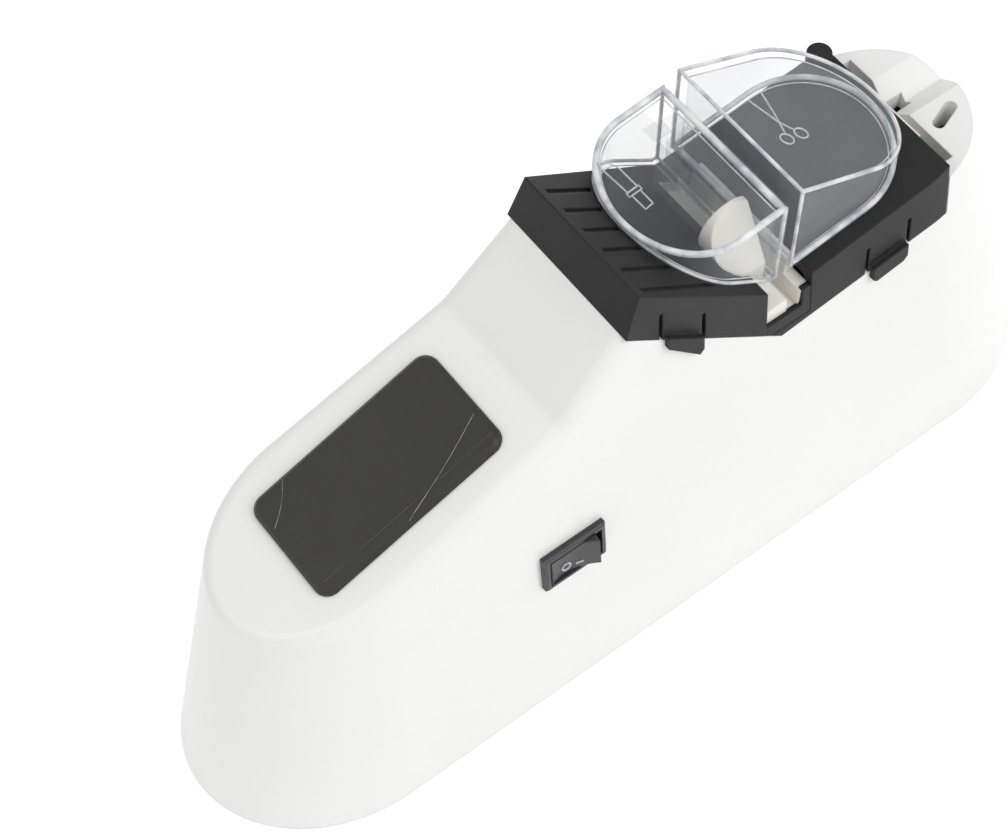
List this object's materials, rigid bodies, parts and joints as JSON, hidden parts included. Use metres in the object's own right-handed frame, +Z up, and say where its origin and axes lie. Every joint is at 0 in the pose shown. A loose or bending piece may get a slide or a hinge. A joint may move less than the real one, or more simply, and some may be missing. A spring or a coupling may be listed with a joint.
{
  "type": "electric knife sharpener",
  "caption": "Motor-driven kitchen sharpener: tall rounded housing with a sloping deck, a lift-off cap with a knife slot between two clear guards, and a rocker switch.",
  "frame": {"origin": "on the table under the middle of the housing", "axes": "+Z up, +X along the length from the rounded nose to the rear, +Y to the side without the switch"},
  "size_m": [0.216, 0.0552, 0.1135],
  "materials": {
    "white_abs": "satin moulded ABS",
    "cover_abs": "fine textured moulded ABS",
    "black_abs": "fine textured moulded ABS",
    "plate_black": "satin",
    "clear_pc": "clear moulded polycarbonate",
    "guide_pom": "moulded acetal",
    "switch_pa": "moulded nylon",
    "rubber": "matt",
    "steel": "zinc plated",
    "brass": "bright",
    "bronze": "sintered",
    "ferrite": "matt",
    "core_steel": "stacked laminations",
    "abrasive": "bonded aluminium oxide"
  },
  "bodies": {
    "housing": {"upper_housing": "white_abs", "base_cover": "cover_abs", "housing_screws": "steel", "rubber_feet": "rubber", "deck_plate": "plate_black", "switch_bezel": "switch_pa", "switch_body": "switch_pa", "switch_terminals": "brass", "dc_jack": "switch_pa", "dc_jack_pin": "brass", "motor_can": "steel", "motor_end_bell": "guide_pom", "motor_bushings": "bronze", "motor_terminals": "brass", "motor_magnets": "ferrite", "motor_straps": "steel", "strap_screws": "steel"},
    "cap": {"top_cap": "black_abs", "knife_guard": "clear_pc", "scissors_guard": "clear_pc", "blade_guide": "guide_pom"},
    "rotor": {"motor_armature": "core_steel", "motor_commutator": "brass", "motor_shaft": "steel", "grinding_wheel": "abrasive", "wheel_hub": "guide_pom", "wheel_nut": "steel", "rear_wheel": "abrasive", "rear_wheel_hub": "guide_pom", "rear_wheel_nut": "steel"},
    "rocker": {"switch_rocker": "switch_pa"}
  },
  "joints": [
    {"name": "cap_lift", "type": "slide", "parent": "housing", "child": "cap", "axis": [0, 0, 1], "range_m": [0, 0.03]},
    {"name": "rotor_spin", "type": "hinge", "parent": "housing", "child": "rotor", "pos_m": [0, 0, 0.066], "axis": [1, 0, 0], "continuous": true},
    {"name": "rocker_tilt", "type": "hinge", "parent": "housing", "child": "rocker", "pos_m": [-0.031, -0.0209, 0.0485], "axis": [0, 0.0993, 0.9951], "range_deg": [0, 20]}
  ]
}
